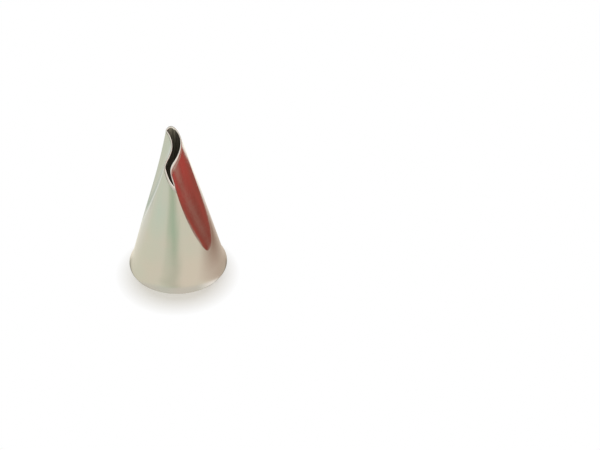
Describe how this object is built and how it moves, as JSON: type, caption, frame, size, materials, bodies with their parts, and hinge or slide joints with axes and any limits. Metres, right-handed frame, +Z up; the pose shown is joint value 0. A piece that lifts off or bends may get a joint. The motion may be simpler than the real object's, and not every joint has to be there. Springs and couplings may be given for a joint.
{
  "type": "petal piping nozzle",
  "caption": "Tall conical piping nozzle of thin stainless sheet, pressed in from two sides to an S-curved slanted mouth, with a flared base rim.",
  "frame": {"origin": "centre of the base rim, on the plane that it rests on", "axes": "+Z up the cone towards the mouth's top, -Y the side that the mouth opens to, +X to the right of the mouth as seen from -Y"},
  "size_m": [0.024, 0.024, 0.0408],
  "materials": {
    "sheet_steel": "polished stainless steel sheet, with fine forming and polishing marks",
    "weld_steel": "weld bead ground flush outside and left rounded inside"
  },
  "bodies": {
    "root": {"cone_shell": "sheet_steel", "seam_weld": "weld_steel"}
  },
  "joints": []
}
